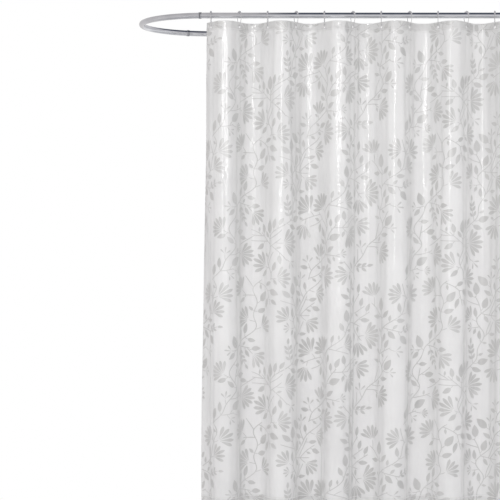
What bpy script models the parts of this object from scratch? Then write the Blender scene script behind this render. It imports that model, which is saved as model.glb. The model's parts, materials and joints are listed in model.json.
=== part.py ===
"""Oval shower ring with a curtain hung on its front arm.

Frame: the wall is the plane Y = 0 and the room is at -Y.  X runs along the wall, Z is up, and
the origin is midway between the two wall flanges at the height of the ring's centreline.
"""
import math

import bmesh
import bpy
from mathutils import Matrix, Vector

# ------------------------------------------------------------------ driving sizes (metres)
RING_LENGTH = 1.768          # over the tube, along X
RING_DEPTH = 0.558           # over the tube, along Y
TUBE_DIAMETER = 0.022
TUBE_WALL = 0.0012
WALL_STANDOFF = 0.100        # wall to the centreline of the back arm

JOINT_PAST_FRONT = 0.030     # joint, past the end of the straight front arm, along the bend
JOINT_PAST_BACK = 0.097      # the same for the back arm
COLLAR_LENGTH = 0.011
COLLAR_THICKNESS = 0.0014
SPIGOT_LENGTH = 0.050
SPIGOT_WALL = 0.0015

BRACKET_SPACING = 0.700      # between the two wall flanges
FLANGE_DIAMETER = 0.060
FLANGE_THICKNESS = 0.005
FLANGE_RIM_SHARE = 0.55      # straight part of the flange's edge, as a share of its thickness
BOSS_HEIGHT = 0.011          # socket that stands on the flange
BOSS_WALL = 0.0035
POST_DIAMETER = 0.016
SADDLE_LENGTH = 0.026
SADDLE_WALL = 0.0032
SADDLE_BOSS_ROOT = 0.004     # start of the saddle's boss, from the centreline of the rod
POST_SEAT_DEPTH = 0.0008     # post's seat, below the outside of the saddle's sleeve
CHAMFER = 0.001              # on the saddle and the bosses
POST_CHAMFER = 0.0006
SCREW_SPACING = 0.040
SCREW_SHANK = 0.0042
SCREW_HEAD = 0.0080
SCREW_HEAD_HEIGHT = 0.0026

HOOKS = 12
HOOK_INSET = 0.0115          # first hook, from the end of the straight front arm
HOOK_WIRE = 0.0024
HOOK_BALL = 0.0065
HOOK_BALL_ANGLES = (-60.0, -30.0, 0.0, 30.0, 60.0)
HOOK_EASE = 0.0007           # spare radius of the arc over the rod
HOOK_MOUTH = 0.009           # gap through which an eyelet is threaded
HOOK_TURNS = (6.0, 25.0)     # degrees about Z of the odd and the even hooks
HOOK_OBLIQUE_MOST = 48.0     # degrees from a hook's plane to the square of the sheet it pierces
HOOK_CROOK = 0.0075          # radius of the crook that passes through the eyelet
HOOK_CROOK_ANGLES = (62.0, 30.0, 0.0, -30.0, -58.0)
HOOK_BALL_PROFILE = (-0.93, -0.45, 0.45, 0.93)
HOOK_LEG_DROP = 0.018        # foot of each straight leg, below the centreline of the rod
HOOK_FRONT_LEAN = 0.0015     # how far the front leg leans in towards the rod
HOOK_BACK_LEAN = 0.002
HOOK_SHOULDER = 0.005        # the arc's upright ends, below the arc's centre

CURTAIN_WIDTH = 1.829        # laid flat
CURTAIN_DROP = 1.829         # top edge to bottom edge
TOP_EDGE_BELOW_AXIS = 0.025  # top edge of the curtain below the centreline of the front arm
EYELET_BELOW_EDGE = 0.018
SHEET_THICKNESS = 0.0004
HEADER_HEIGHT = 0.031
HEM_HEIGHT = 0.025
FLANK_SHARE = 0.29           # straight half flank of a fold, as a share of the flat pitch
FLAP_STRAIGHT = 0.014
FLAP_RADIUS = 0.057
EYELET_BORE = 0.0100
EYELET_RIM = 0.0020
EYELET_FLANGE = 0.0180
EYELET_LIP = 0.0005
EYELET_BEVEL = 0.0004

GAP = 0.0003                 # clearance between pieces that touch
EYELET_SLACK = 0.0005        # hook wire to the bore of the eyelet that hangs on it

TUBE_SIDES = 16
WIRE_SIDES = 8
EYELET_SIDES = 12
FITTING_SIDES = 32
POST_SIDES = 28
SCREW_SIDES = 16
BEND_STEP = 9.0              # degrees of bend between two rows of facets
FLAP_PARTS = 7
FOLD_PARTS = 8
CUT_PAST = 0.006             # how far a cutter runs past the piece that it cuts
SHARP_EDGE = 38.0            # degrees above which an edge is shaded sharp

# ------------------------------------------------------------------ derived sizes
TUBE_R = TUBE_DIAMETER / 2
BACK_Y = -WALL_STANDOFF
FRONT_Y = BACK_Y - (RING_DEPTH - TUBE_DIAMETER)
BEND_R = (BACK_Y - FRONT_Y) / 2
MID_Y = (BACK_Y + FRONT_Y) / 2
HALF_STRAIGHT = (RING_LENGTH - TUBE_DIAMETER) / 2 - BEND_R
ARC = math.pi * BEND_R
TOTAL = 4 * HALF_STRAIGHT + 2 * ARC

FLAT_PITCH = CURTAIN_WIDTH / HOOKS
FIRST_HOOK_X = -(HALF_STRAIGHT - HOOK_INSET)
PITCH = -2 * FIRST_HOOK_X / (HOOKS - 1)
HOOK_X = [FIRST_HOOK_X + PITCH * i for i in range(HOOKS)]
TOP_Z = -TOP_EDGE_BELOW_AXIS
BOTTOM_Z = TOP_Z - CURTAIN_DROP
EYELET_Z = TOP_Z - EYELET_BELOW_EDGE
LAYER_STEP = SHEET_THICKNESS + GAP
STACK = 2 * SHEET_THICKNESS + GAP
GRIP = STACK / 2 + GAP


# ------------------------------------------------------------------ mesh helpers
def material(name, colour, roughness, metallic, alpha=1.0):
    made = bpy.data.materials.new(name)
    made.use_nodes = True
    shader = made.node_tree.nodes["Principled BSDF"]
    shader.inputs["Base Color"].default_value = (*colour, 1.0)
    shader.inputs["Roughness"].default_value = roughness
    shader.inputs["Metallic"].default_value = metallic
    shader.inputs["Alpha"].default_value = alpha
    return made


def add(name, verts, faces, mat, parent=None, place=None, smooth=True):
    """One named object from a closed mesh whose faces are turned to face out."""
    mesh = bpy.data.meshes.new(name)
    mesh.from_pydata([tuple(v) for v in verts], [], faces)
    work = bmesh.new()
    work.from_mesh(mesh)
    bmesh.ops.recalc_face_normals(work, faces=work.faces[:])
    work.to_mesh(mesh)
    work.free()
    if smooth:
        mesh.shade_smooth()
        mesh.set_sharp_from_angle(angle=math.radians(SHARP_EDGE))
    mesh.materials.append(mat)
    item = bpy.data.objects.new(name, mesh)
    bpy.context.collection.objects.link(item)
    item.parent = parent
    if place is not None:
        item.matrix_local = place
    return item


def empty(name, location, parent=None):
    item = bpy.data.objects.new(name, None)
    bpy.context.collection.objects.link(item)
    item.parent = parent
    item.location = location
    return item


def skin(rows, closed_rows=False):
    """Faces over rings of equal length; open rows get a flat cap at each end."""
    count, size = len(rows), len(rows[0])
    verts = [v for row in rows for v in row]
    faces = []
    for r in range(count if closed_rows else count - 1):
        a, b = r * size, ((r + 1) % count) * size
        for k in range(size):
            m = (k + 1) % size
            faces.append((a + k, a + m, b + m, b + k))
    if not closed_rows:
        faces.append(tuple(reversed(range(size))))
        faces.append(tuple(range((count - 1) * size, count * size)))
    return verts, faces


def ring_at(centre, across, up, radius, sides):
    turns = [2 * math.pi * k / sides for k in range(sides)]
    return [centre + radius * (math.cos(t) * across + math.sin(t) * up) for t in turns]


def lathe(profile, axis, across, sides):
    """A closed (radius, distance along axis) profile turned about the axis."""
    up = axis.cross(across)
    rows = [ring_at(axis * along, across, up, radius, sides) for radius, along in profile]
    return skin(rows, closed_rows=True)


def turned(profile, axis, across, sides):
    """A solid turned about the axis; the first and last radii are flat ends."""
    up = axis.cross(across)
    rows = [ring_at(axis * along, across, up, radius, sides) for radius, along in profile]
    return skin(rows)


def cutter(name, verts, faces, parent=None, place=None):
    item = add(name, verts, faces, CHROME, parent, place, smooth=False)
    item.hide_render = True
    item.display_type = "WIRE"
    return item


def combine(target, tool, operation):
    step = target.modifiers.new(tool.name, "BOOLEAN")
    step.operation = operation
    step.solver = "EXACT"
    step.object = tool


# ------------------------------------------------------------------ the ring
def ring_point(s):
    """Centreline point and direction at distance s from the middle of the front arm, to +X."""
    s %= TOTAL
    if s <= HALF_STRAIGHT:
        return Vector((s, FRONT_Y, 0)), Vector((1, 0, 0))
    s -= HALF_STRAIGHT
    if s <= ARC:
        t = s / BEND_R
        point = (HALF_STRAIGHT + BEND_R * math.sin(t), MID_Y - BEND_R * math.cos(t), 0)
        return Vector(point), Vector((math.cos(t), math.sin(t), 0))
    s -= ARC
    if s <= 2 * HALF_STRAIGHT:
        return Vector((HALF_STRAIGHT - s, BACK_Y, 0)), Vector((-1, 0, 0))
    s -= 2 * HALF_STRAIGHT
    if s <= ARC:
        t = s / BEND_R
        point = (-HALF_STRAIGHT - BEND_R * math.sin(t), MID_Y + BEND_R * math.cos(t), 0)
        return Vector(point), Vector((-math.cos(t), -math.sin(t), 0))
    s -= ARC
    return Vector((-HALF_STRAIGHT + s, FRONT_Y, 0)), Vector((1, 0, 0))


ARM_END = HALF_STRAIGHT
BEND_END = HALF_STRAIGHT + ARC
FRONT_RIGHT = ARM_END + JOINT_PAST_FRONT
BACK_RIGHT = BEND_END - JOINT_PAST_BACK
BACK_LEFT = BEND_END + 2 * HALF_STRAIGHT + JOINT_PAST_BACK
FRONT_LEFT = -FRONT_RIGHT


def stations(start, end, step):
    """Distances from start to end.  Tube, spigot and collar share those near each joint."""
    marks = [-ARM_END, ARM_END, BEND_END, BEND_END + 2 * HALF_STRAIGHT, TOTAL - ARM_END]
    for joint in (FRONT_LEFT, FRONT_RIGHT, BACK_RIGHT, BACK_LEFT, TOTAL + FRONT_LEFT):
        for reach in (SPIGOT_LENGTH / 2, COLLAR_LENGTH / 2, 0.0):
            marks += [joint - reach, joint + reach]
    marks = sorted({m for m in marks if start + 1e-6 < m < end - 1e-6})
    marks = [start] + marks + [end]
    out = [start]
    for a, b in zip(marks, marks[1:]):
        curved = ring_point((a + b) / 2)[1].cross(ring_point(a + 1e-4)[1]).length > 1e-6
        parts = max(1, round((b - a) / step)) if curved else 1
        out += [a + (b - a) * k / parts for k in range(1, parts + 1)]
    return out


def hollow(start, end, outer, inner):
    """A round tube along the ring's centreline, open at both ends."""
    marks = stations(start, end, BEND_R * math.radians(BEND_STEP))
    up = Vector((0, 0, 1))
    rows, bores = [], []
    for s in marks:
        centre, along = ring_point(s)
        across = up.cross(along)
        rows.append(ring_at(centre, across, up, outer, TUBE_SIDES))
        bores.append(ring_at(centre, across, up, inner, TUBE_SIDES))
    return skin(rows + bores[::-1], closed_rows=True)


def make_ring():
    half = GAP / 2
    pieces = {
        "ring_front_tube": (FRONT_LEFT + half, FRONT_RIGHT - half),
        "ring_right_bend": (FRONT_RIGHT + half, BACK_RIGHT - half),
        "ring_back_tube": (BACK_RIGHT + half, BACK_LEFT - half),
        "ring_left_bend": (BACK_LEFT + half, TOTAL - FRONT_RIGHT - half),
    }
    for name, (start, end) in pieces.items():
        add(name, *hollow(start, end, TUBE_R, TUBE_R - TUBE_WALL), CHROME)
    joints = {
        "front_left": FRONT_LEFT,
        "front_right": FRONT_RIGHT,
        "back_right": BACK_RIGHT,
        "back_left": BACK_LEFT,
    }
    for name, s in joints.items():
        spigot_r = TUBE_R - TUBE_WALL - GAP
        reach = SPIGOT_LENGTH / 2
        tube = hollow(s - reach, s + reach, spigot_r, spigot_r - SPIGOT_WALL)
        add("joint_spigot_" + name, *tube, STEEL)
        reach = COLLAR_LENGTH / 2
        bore = TUBE_R + GAP
        tube = hollow(s - reach, s + reach, bore + COLLAR_THICKNESS, bore)
        add("joint_collar_" + name, *tube, COLLAR_CHROME)


# ------------------------------------------------------------------ the wall brackets
def make_bracket(side, x):
    away = Vector((0, -1, 0))
    across = Vector((1, 0, 0))
    base = empty(side + "_bracket", (x, 0, 0))
    post_r = POST_DIAMETER / 2
    socket_r = post_r + GAP
    floor = FLANGE_THICKNESS / 2
    face = FLANGE_THICKNESS
    profile = [
        (FLANGE_DIAMETER / 2, 0.0),
        (FLANGE_DIAMETER / 2, face * FLANGE_RIM_SHARE),
        (FLANGE_DIAMETER / 2 - face * (1 - FLANGE_RIM_SHARE), face),
        (socket_r + BOSS_WALL, face),
        (socket_r + BOSS_WALL, face + BOSS_HEIGHT - CHAMFER),
        (socket_r + BOSS_WALL - CHAMFER, face + BOSS_HEIGHT),
        (socket_r, face + BOSS_HEIGHT),
        (socket_r, floor),
    ]
    flange = add(side + "_wall_flange", *turned(profile, away, across, FITTING_SIDES),
                 CHROME, base)
    for end, z in (("top", SCREW_SPACING / 2), ("bottom", -SCREW_SPACING / 2)):
        place = Matrix.Translation((0, 0, z))
        hole_r = SCREW_SHANK / 2 + GAP
        hole = turned([(hole_r, -CUT_PAST), (hole_r, face + CUT_PAST)],
                      away, across, SCREW_SIDES)
        tool = cutter(side + "_screw_hole_" + end, *hole, base, place)
        combine(flange, tool, "DIFFERENCE")
        shank, head = SCREW_SHANK / 2, SCREW_HEAD / 2
        under = face + GAP
        top = under + SCREW_HEAD_HEIGHT
        screw = turned(
            [
                (shank, 0.0),
                (shank, under),
                (head, under),
                (head, under + SCREW_HEAD_HEIGHT * 0.4),
                (head * 0.8, under + SCREW_HEAD_HEIGHT * 0.85),
                (head * 0.45, top),
            ],
            away,
            across,
            SCREW_SIDES,
        )
        add(side + "_flange_screw_" + end, *screw, STEEL, base, place)

    saddle_r = TUBE_R + GAP
    saddle_out = saddle_r + SADDLE_WALL
    boss_r = socket_r + BOSS_WALL
    reach = WALL_STANDOFF
    # The sleeve lies along X round the back arm, and its boss points back to the wall.
    half = SADDLE_LENGTH / 2
    centre = Matrix.Translation((0, -reach, 0))
    sleeve = turned([(saddle_out - CHAMFER, -half), (saddle_out, -half + CHAMFER),
                     (saddle_out, half - CHAMFER), (saddle_out - CHAMFER, half)],
                    across, -away, FITTING_SIDES)
    saddle = add(side + "_rod_saddle", *sleeve, CHROME, base, centre)
    mouth = saddle_out + BOSS_HEIGHT
    boss = turned([(boss_r, SADDLE_BOSS_ROOT), (boss_r, mouth - CHAMFER),
                   (boss_r - CHAMFER, mouth)], -away, across, FITTING_SIDES)
    combine(saddle, cutter(side + "_saddle_boss", *boss, base, centre), "UNION")
    seat = saddle_out - POST_SEAT_DEPTH
    socket = turned([(socket_r, seat), (socket_r, mouth + CUT_PAST)],
                    -away, across, FITTING_SIDES)
    combine(saddle, cutter(side + "_saddle_socket", *socket, base, centre), "DIFFERENCE")
    bore = turned([(saddle_r, -half - CUT_PAST), (saddle_r, half + CUT_PAST)],
                  across, -away, FITTING_SIDES)
    combine(saddle, cutter(side + "_saddle_bore", *bore, base, centre), "DIFFERENCE")

    near, far = floor + GAP, reach - seat - GAP
    post = turned([(post_r - POST_CHAMFER, near), (post_r, near + POST_CHAMFER),
                   (post_r, far - POST_CHAMFER), (post_r - POST_CHAMFER, far)],
                  away, across, POST_SIDES)
    add(side + "_wall_post", *post, CHROME, base)


# ------------------------------------------------------------------ the hooks
def obliqueness(i):
    """Hook i's turn about Z, and the angle left between its plane and the sheet's normal."""
    slope = math.degrees(fold_angle())
    turn = max(HOOK_TURNS[i % 2], slope - HOOK_OBLIQUE_MOST)
    return turn * (-1 if i % 2 == 0 else 1), math.radians(abs(slope - turn))


def crook_height(wire, worst):
    """Height of the crook's lowest centre, where the slanting wire clears the eyelet's bore."""
    lip = LAYER_STEP / 2 + GRIP + EYELET_LIP
    aside = lip * math.tan(worst) + wire / math.cos(worst) - wire
    room = EYELET_BORE / 2 * math.cos(math.pi / EYELET_SIDES) - EYELET_SLACK - wire
    rise = (lip / math.cos(worst)) ** 2 / (2 * HOOK_CROOK)
    return EYELET_Z + math.sqrt(max(room * room - aside * aside, 0.0)) - rise


def hook_path(oblique):
    """Points (depth, height, wire radius) of one open hook seen along the rod."""
    wire = HOOK_WIRE / 2
    ball = HOOK_BALL / 2
    # The arc is wide enough for the turned hooks, and its top ball rests on the rod.
    turn_most = math.radians(max(abs(obliqueness(0)[0]), abs(obliqueness(1)[0])))
    arc_r = (TUBE_R + GAP + ball) / math.cos(turn_most) + HOOK_EASE
    drop = arc_r - (TUBE_R + GAP + ball)
    crook = HOOK_CROOK
    low = crook_height(wire, oblique)
    points = []
    # Tip behind the sheet, crook through the eyelet, then the front leg.
    for degrees in HOOK_CROOK_ANGLES:
        t = math.radians(degrees)
        points.append((crook * math.sin(t), low + crook * (1 - math.cos(t)), wire))
    points.append((HOOK_FRONT_LEAN - arc_r, -HOOK_LEG_DROP, wire))
    points.append((-arc_r, -drop - HOOK_SHOULDER, wire))
    step = math.degrees(ball / arc_r)
    points.append(arc_point(-90.0, arc_r, drop, wire))
    for angle in HOOK_BALL_ANGLES:
        for share in HOOK_BALL_PROFILE:
            size = wire if abs(share) == max(HOOK_BALL_PROFILE) else ball
            points.append(arc_point(angle + step * share, arc_r, drop, size))
    points.append(arc_point(90.0, arc_r, drop, wire))
    points.append((arc_r, -drop - HOOK_SHOULDER, wire))
    last = Vector((arc_r - HOOK_BACK_LEAN, -HOOK_LEG_DROP))
    points.append((last.x, last.y, wire))
    # The back leg turns in towards the tip and stops short of it by the mouth.
    tip = Vector((points[0][0], points[0][1]))
    way = tip - last
    stop = last + way * max(0.0, 1 - HOOK_MOUTH / way.length)
    if (stop - last).length > HOOK_WIRE / 4:
        points.append((stop.x, stop.y, wire))
    return points


def arc_point(degrees, radius, drop, size):
    t = math.radians(degrees)
    return (radius * math.sin(t), radius * math.cos(t) - drop, size)


def make_hook(name, x, turn, oblique, parent):
    points = hook_path(oblique)
    side = Vector((1, 0, 0))
    rows = []
    for k, (depth, height, size) in enumerate(points):
        here = Vector((0, depth, height))
        a = points[max(k - 1, 0)]
        b = points[min(k + 1, len(points) - 1)]
        along = Vector((0, b[0] - a[0], b[1] - a[1])).normalized()
        rows.append(ring_at(here, side, along.cross(side), size, WIRE_SIDES))
    place = Matrix.Translation((x, 0, 0)) @ Matrix.Rotation(math.radians(turn), 4, "Z")
    add(name, *skin(rows), HOOK_STEEL, parent, place)


# ------------------------------------------------------------------ the curtain
def fold_angle():
    """Slope of a fold's flank for which the flat pitch hangs over the hook pitch."""
    flank = 2 * FLANK_SHARE * FLAT_PITCH
    low, high = 0.02, 1.5
    for _ in range(60):
        t = (low + high) / 2
        span = flank * math.cos(t) + (FLAT_PITCH - flank) * math.sin(t) / t
        low, high = (t, high) if span > PITCH else (low, t)
    return low


def plan():
    """Plan of the hung sheet: (x, y, heading) along its width, y measured from the rod."""
    slope = fold_angle()
    half = FLANK_SHARE * FLAT_PITCH
    radius = (FLAT_PITCH - 2 * half) / (2 * slope)
    # The free edge beyond the first hook turns back and curls in.
    flap = []
    start = Vector((HOOK_X[0], 0)) + FLAP_STRAIGHT * Vector((-math.cos(slope), math.sin(slope)))
    heading = math.pi - slope
    rest = FLAT_PITCH / 2 - FLAP_STRAIGHT
    for k in range(FLAP_PARTS + 1):
        turn = rest / FLAP_RADIUS * k / FLAP_PARTS
        centre = start + FLAP_RADIUS * Vector((math.sin(heading), -math.cos(heading)))
        arm = Matrix.Rotation(-turn, 2) @ (start - centre)
        flap.append((*(centre + arm), heading - turn - math.pi))
    points = flap[::-1]
    for i in range(HOOKS - 1):
        turn = 1 if i % 2 == 0 else -1
        heading = -turn * slope
        x = HOOK_X[i] + half * math.cos(slope)
        y = half * math.sin(heading)
        centre = (x - turn * radius * math.sin(heading), y + turn * radius * math.cos(heading))
        for k in range(FOLD_PARTS + 1):
            t = heading + turn * 2 * slope * k / FOLD_PARTS
            points.append((centre[0] + turn * radius * math.sin(t),
                           centre[1] - turn * radius * math.cos(t), t))
    points += [(-x, y, -heading) for x, y, heading in flap]
    return points, slope


def wavy_slab(points, offset, low, high):
    """A thin closed solid that follows the plan between two heights."""
    sides = []
    for shift in (offset - SHEET_THICKNESS / 2, offset + SHEET_THICKNESS / 2):
        sides.append([(x - shift * math.sin(h), y + shift * math.cos(h)) for x, y, h in points])
    outline = sides[0] + sides[1][::-1]
    rows = [[Vector((x, y, z)) for x, y in outline] for z in (low, high)]
    count = len(points)
    verts = [v for row in rows for v in row]
    size = 2 * count
    faces = [(k, (k + 1) % size, size + (k + 1) % size, size + k) for k in range(size)]
    for row in (0, size):
        for k in range(count - 1):
            faces.append((row + k, row + k + 1, row + size - 2 - k, row + size - 1 - k))
    return verts, faces


def eyelet_places(slope, offset):
    places = []
    for i, x in enumerate(HOOK_X):
        heading = -slope if i % 2 == 0 else slope
        shift = Vector((-math.sin(heading), math.cos(heading), 0)) * offset
        place = Matrix.Translation(Vector((x, 0, EYELET_Z)) + shift)
        places.append(place @ Matrix.Rotation(heading, 4, "Z"))
    return places


def make_curtain(axis):
    points, slope = plan()
    panel = add("curtain_panel", *wavy_slab(points, 0.0, BOTTOM_Z, TOP_Z), FILM, axis)
    header = add("header_band", *wavy_slab(points, LAYER_STEP, TOP_Z - HEADER_HEIGHT, TOP_Z),
                 HEADER_FILM, axis)
    add("bottom_hem", *wavy_slab(points, LAYER_STEP, BOTTOM_Z, BOTTOM_Z + HEM_HEIGHT),
        HEM_FILM, axis)
    middle = LAYER_STEP / 2
    rim_r = EYELET_BORE / 2 + EYELET_RIM
    normal, across = Vector((0, 1, 0)), Vector((1, 0, 0))
    grip, lip = GRIP, GRIP + EYELET_LIP
    bore, flange = EYELET_BORE / 2, EYELET_FLANGE / 2
    profile = [(bore, -lip), (flange - EYELET_BEVEL, -lip), (flange, -grip), (rim_r, -grip),
               (rim_r, grip), (flange, grip), (flange - EYELET_BEVEL, lip), (bore, lip)]
    hole_r = rim_r + GAP
    for i, place in enumerate(eyelet_places(slope, middle)):
        number = "%02d" % (i + 1)
        hole = turned([(hole_r, -CUT_PAST), (hole_r, CUT_PAST)], normal, across, EYELET_SIDES)
        tool = cutter("eyelet_hole_" + number, *hole, axis, place)
        combine(panel, tool, "DIFFERENCE")
        combine(header, tool, "DIFFERENCE")
        ring = lathe(profile, normal, across, EYELET_SIDES)
        add("eyelet_" + number, *ring, EYELET_PLASTIC, axis, place)


# ------------------------------------------------------------------ build
for item in list(bpy.data.objects):
    bpy.data.objects.remove(item, do_unlink=True)

CHROME = material("polished_chrome", (0.72, 0.73, 0.76), 0.06, 1.0)
COLLAR_CHROME = material("collar_chrome", (0.62, 0.63, 0.66), 0.12, 1.0)
STEEL = material("plain_steel", (0.55, 0.55, 0.56), 0.30, 1.0)
HOOK_STEEL = material("hook_chrome", (0.70, 0.70, 0.72), 0.10, 1.0)
FILM = material("clear_film", (0.86, 0.86, 0.85), 0.18, 0.0)
HEADER_FILM = material("header_film", (0.84, 0.84, 0.83), 0.20, 0.0)
HEM_FILM = material("hem_film", (0.84, 0.84, 0.83), 0.20, 0.0)
EYELET_PLASTIC = material("eyelet_plastic", (0.90, 0.90, 0.90), 0.25, 0.0)

make_ring()
make_bracket("left", -BRACKET_SPACING / 2)
make_bracket("right", BRACKET_SPACING / 2)
swing_axis = empty("curtain_axis", (0, FRONT_Y, 0))
for i, x in enumerate(HOOK_X):
    make_hook("hook_%02d" % (i + 1), x, *obliqueness(i), swing_axis)
make_curtain(swing_axis)
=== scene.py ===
"""Looks for the shower curtain: chrome oval ring, roller hooks and a printed film curtain."""
import json
import math

import bmesh
import bpy
import numpy as np
from mathutils import Matrix, Vector

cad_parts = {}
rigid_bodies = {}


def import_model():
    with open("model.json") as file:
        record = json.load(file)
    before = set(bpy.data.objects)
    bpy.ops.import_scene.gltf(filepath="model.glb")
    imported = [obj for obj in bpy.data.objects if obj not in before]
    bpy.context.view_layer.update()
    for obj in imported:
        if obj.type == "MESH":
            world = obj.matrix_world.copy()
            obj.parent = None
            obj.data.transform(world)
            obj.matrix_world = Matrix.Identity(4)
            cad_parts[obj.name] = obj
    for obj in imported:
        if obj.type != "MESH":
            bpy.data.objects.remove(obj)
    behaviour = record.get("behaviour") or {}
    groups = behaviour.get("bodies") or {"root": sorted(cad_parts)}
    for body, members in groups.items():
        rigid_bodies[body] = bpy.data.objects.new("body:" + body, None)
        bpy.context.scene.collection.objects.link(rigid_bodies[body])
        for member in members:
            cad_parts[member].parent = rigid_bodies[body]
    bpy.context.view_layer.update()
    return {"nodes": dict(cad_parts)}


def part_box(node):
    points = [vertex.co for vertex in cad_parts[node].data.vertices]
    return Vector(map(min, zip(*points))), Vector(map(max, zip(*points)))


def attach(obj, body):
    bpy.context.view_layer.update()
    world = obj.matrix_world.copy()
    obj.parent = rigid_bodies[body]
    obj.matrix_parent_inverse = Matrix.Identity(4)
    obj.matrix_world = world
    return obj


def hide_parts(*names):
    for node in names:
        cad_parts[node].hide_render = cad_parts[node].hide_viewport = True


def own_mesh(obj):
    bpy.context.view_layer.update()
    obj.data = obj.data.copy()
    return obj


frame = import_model()


# -------------------- sizes read from the frame
def span(node):
    low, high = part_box(node)
    return Vector(low), Vector(high)


def centre(node):
    low, high = span(node)
    return (low + high) / 2


rod_low, rod_high = span("ring_front_tube")
TUBE_R = (rod_high.z - rod_low.z) / 2
FRONT_Y = rod_low.y + TUBE_R
BACK_Y = span("ring_back_tube")[1].y - TUBE_R
BEND_R = (BACK_Y - FRONT_Y) / 2
MID_Y = (BACK_Y + FRONT_Y) / 2
HALF_STRAIGHT = span("ring_right_bend")[1].x - TUBE_R - BEND_R
ARC = math.pi * BEND_R
TOTAL = 4 * HALF_STRAIGHT + 2 * ARC

HOOKS = 12
FIRST_X, LAST_X = centre("hook_01").x, centre("hook_12").x
PITCH = (LAST_X - FIRST_X) / (HOOKS - 1)
HOOK_X = [FIRST_X + PITCH * i for i in range(HOOKS)]
TOP_Z = span("curtain_panel")[1].z
BOTTOM_Z = span("curtain_panel")[0].z
EYELET_Z = centre("eyelet_01").z
CURTAIN_DROP = TOP_Z - BOTTOM_Z
HEADER_HEIGHT = TOP_Z - span("header_band")[0].z
HEM_HEIGHT = span("bottom_hem")[1].z - BOTTOM_Z

# Sizes that the part's source names.
CURTAIN_WIDTH = 1.829
FLAT_PITCH = CURTAIN_WIDTH / HOOKS
HOOK_WIRE = 0.0024
HOOK_BALL = 0.0065
HOOK_BALL_ANGLES = (-60, -30, 0, 30, 60)    # degrees from the top of the rod
HOOK_TURNS = (-6.0, 25.0)    # degrees about the upright, taken in turn
HOOK_CROOK = 0.0075          # radius of the bend that holds the eyelet
HOOK_SHOULDER = 0.018        # how far below the rod's axis each leg starts to lean
EYELET_BORE = 0.0100
EYELET_FLANGE = 0.0180
GAP = 0.0003
JOINT_PAST_FRONT = 0.030     # from a straight's end to the joint, along the bend
JOINT_PAST_BACK = 0.097      # from a straight's end to the joint, along the bend
COLLAR_LENGTH = 0.011
COLLAR_WALL = 0.0014
FLANGE_PLATE = 0.005
BOSS_WALL = 0.0035

UP = Vector((0, 0, 1))
ALONG_WALL = Vector((1, 0, 0))
OFF_WALL = Vector((0, -1, 0))

rng = np.random.default_rng(11)


# -------------------- material helpers
class Nodes:
    """A material's node tree with short calls to add and join nodes."""

    def __init__(self, name):
        self.material = bpy.data.materials.new(name)
        self.material.use_nodes = True
        self.tree = self.material.node_tree
        self.shader = self.tree.nodes["Principled BSDF"]
        self.output = self.tree.nodes["Material Output"]
        self.coords = self.tree.nodes.new("ShaderNodeTexCoord").outputs["Object"]

    def add(self, kind, **values):
        node = self.tree.nodes.new(kind)
        for key, value in values.items():
            if hasattr(node, key):
                setattr(node, key, value)
            else:
                node.inputs[key.replace("_", " ")].default_value = value
        return node

    def join(self, a, b):
        self.tree.links.new(a, b)

    def noise(self, scale, detail=3.0, roughness=0.55, stretch=None):
        vector = self.coords
        if stretch is not None:
            mapping = self.add("ShaderNodeMapping")
            mapping.inputs["Scale"].default_value = stretch
            self.join(self.coords, mapping.inputs["Vector"])
            vector = mapping.outputs["Vector"]
        node = self.add("ShaderNodeTexNoise")
        node.inputs["Scale"].default_value = scale
        node.inputs["Detail"].default_value = detail
        node.inputs["Roughness"].default_value = roughness
        self.join(vector, node.inputs["Vector"])
        return node.outputs["Fac"]

    def ramp(self, factor, low, high, start=0.35, end=0.65):
        node = self.add("ShaderNodeValToRGB")
        node.color_ramp.elements[0].position = start
        node.color_ramp.elements[1].position = end
        node.color_ramp.elements[0].color = (*low, 1.0)
        node.color_ramp.elements[1].color = (*high, 1.0)
        self.join(factor, node.inputs["Fac"])
        return node.outputs["Color"]

    def spread(self, factor, low, high):
        node = self.add("ShaderNodeMapRange")
        node.inputs["From Min"].default_value = 0.3
        node.inputs["From Max"].default_value = 0.7
        node.inputs["To Min"].default_value = low
        node.inputs["To Max"].default_value = high
        self.join(factor, node.inputs["Value"])
        return node.outputs["Result"]

    def bump(self, height, strength, distance, normal=None):
        node = self.add("ShaderNodeBump")
        node.inputs["Strength"].default_value = strength
        node.inputs["Distance"].default_value = distance
        self.join(height, node.inputs["Height"])
        if normal is not None:
            self.join(normal, node.inputs["Normal"])
        return node.outputs["Normal"]

    def set(self, **values):
        for key, value in values.items():
            self.shader.inputs[key.replace("_", " ")].default_value = value


def metal(name, low, high, rough_low, rough_high, grain):
    m = Nodes(name)
    m.set(Metallic=1.0)
    cloud = m.noise(26.0, 4.0)
    m.join(m.ramp(cloud, low, high), m.shader.inputs["Base Color"])
    smudge = m.noise(90.0, 5.0)
    m.join(m.spread(smudge, rough_low, rough_high), m.shader.inputs["Roughness"])
    m.join(m.bump(m.noise(900.0, 2.0), grain, 0.0001), m.shader.inputs["Normal"])
    return m.material


WAVE_DEPTH = 0.0030
CRINKLE_DEPTH = 0.0052
GRAIN_DEPTH = 0.0002
FILM_IOR = 1.48
PRINT_CRINKLE = 0.30


def film_relief(m, crinkle):
    """Soft waves, patches of crinkles and a fine moulded grain."""
    soft = m.bump(m.noise(24.0, 2.0, 0.5, (1.0, 1.0, 0.35)), crinkle, WAVE_DEPTH)
    ridges = m.noise(46.0, 3.0, 0.5, (1.0, 1.0, 0.5))
    patches = m.spread(m.noise(5.0, 2.0, 0.5, (1.6, 1.6, 0.5)), 0.0, 1.0)
    both = m.add("ShaderNodeMath", operation="MULTIPLY")
    m.join(ridges, both.inputs[0])
    m.join(patches, both.inputs[1])
    sharp = m.bump(both.outputs["Value"], crinkle * 2.0, CRINKLE_DEPTH, soft)
    return m.bump(m.noise(420.0, 2.0), crinkle * 0.3, GRAIN_DEPTH, sharp)


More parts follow.
